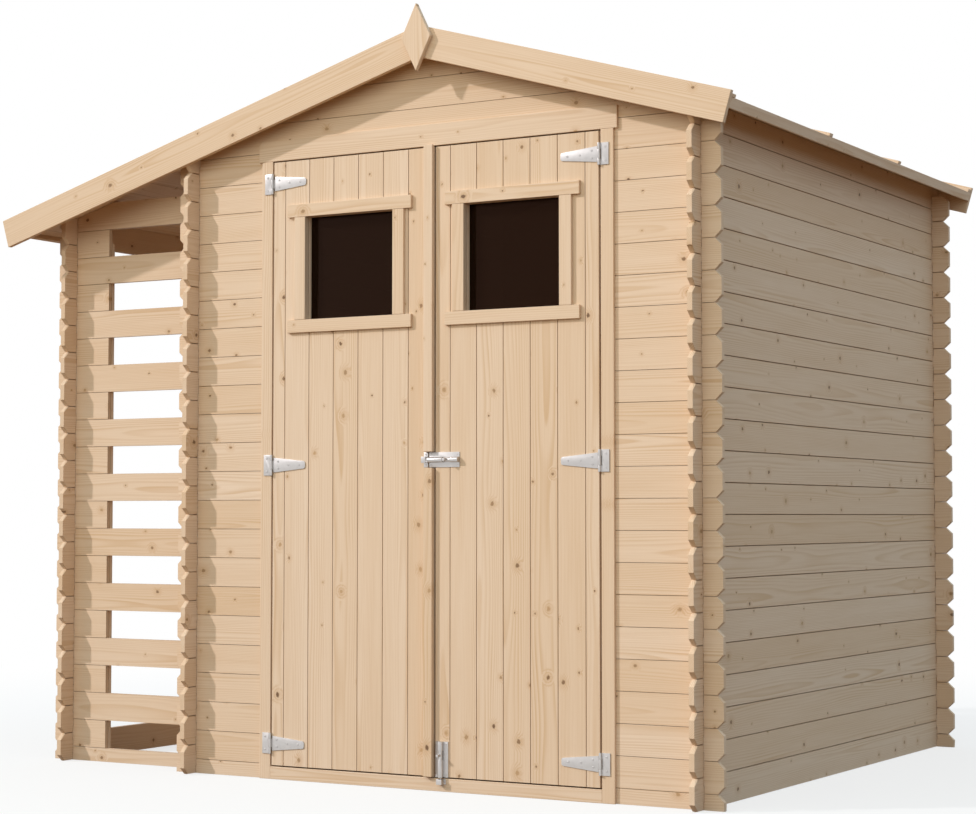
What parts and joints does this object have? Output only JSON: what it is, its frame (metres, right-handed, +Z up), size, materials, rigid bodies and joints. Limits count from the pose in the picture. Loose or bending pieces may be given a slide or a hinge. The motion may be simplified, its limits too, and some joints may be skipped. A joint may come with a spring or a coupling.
{
  "type": "garden shed with log store",
  "caption": "Timber shed of interlocking planks with double plank doors, small windows and an open slatted log store under one long roof slope.",
  "frame": {"origin": "on the ground, under the middle of the roof's box", "axes": "+X towards the shed's closed side wall, away from the log store; -Y the way the doors face; +Z up"},
  "size_m": [2.609, 2.1066, 2.2956],
  "materials": {
    "spruce": "planed, untreated",
    "zinc_steel": "zinc plated",
    "window_glass": "clear"
  },
  "bodies": {
    "shed": {"right_wall": "spruce", "left_wall": "spruce", "back_wall": "spruce", "back_gable": "spruce", "front_wall_left": "spruce", "front_wall_right": "spruce", "front_gable": "spruce", "store_front_slats": "spruce", "store_front_stubs": "spruce", "store_back_slats": "spruce", "store_back_stubs": "spruce", "store_side_planks": "spruce", "store_side_stubs": "spruce", "store_battens": "spruce", "door_jamb_left": "spruce", "door_jamb_right": "spruce", "door_head": "spruce", "door_sill": "spruce", "roof_left": "spruce", "roof_right": "spruce", "roof_battens": "spruce", "eaves_strips": "spruce", "barge_front_left": "spruce", "barge_front_right": "spruce", "barge_back_left": "spruce", "barge_back_right": "spruce", "finials": "spruce", "hinge_plates_left": "zinc_steel", "hinge_plates_right": "zinc_steel", "foot_keeper": "zinc_steel"},
    "left_door": {"left_leaf_boards": "spruce", "left_leaf_ledges": "spruce", "cover_strip": "spruce", "left_window_trim": "spruce", "left_window_glass": "window_glass", "left_window_bead": "spruce", "left_hinge_straps": "zinc_steel", "latch_keeper": "zinc_steel"},
    "right_door": {"right_leaf_boards": "spruce", "right_leaf_ledges": "spruce", "right_window_trim": "spruce", "right_window_glass": "window_glass", "right_window_bead": "spruce", "right_hinge_straps": "zinc_steel", "latch_bolt": "zinc_steel", "foot_bolt": "zinc_steel"}
  },
  "joints": [
    {"name": "left_door_hinge", "type": "hinge", "parent": "shed", "child": "left_door", "pos_m": [-0.2545, -0.9805, 0.952], "axis": [0, 0, -1], "range_deg": [0, 160]},
    {"name": "right_door_hinge", "type": "hinge", "parent": "shed", "child": "right_door", "pos_m": [0.8735, -0.9805, 0.952], "axis": [0, 0, 1], "range_deg": [0, 160]}
  ]
}
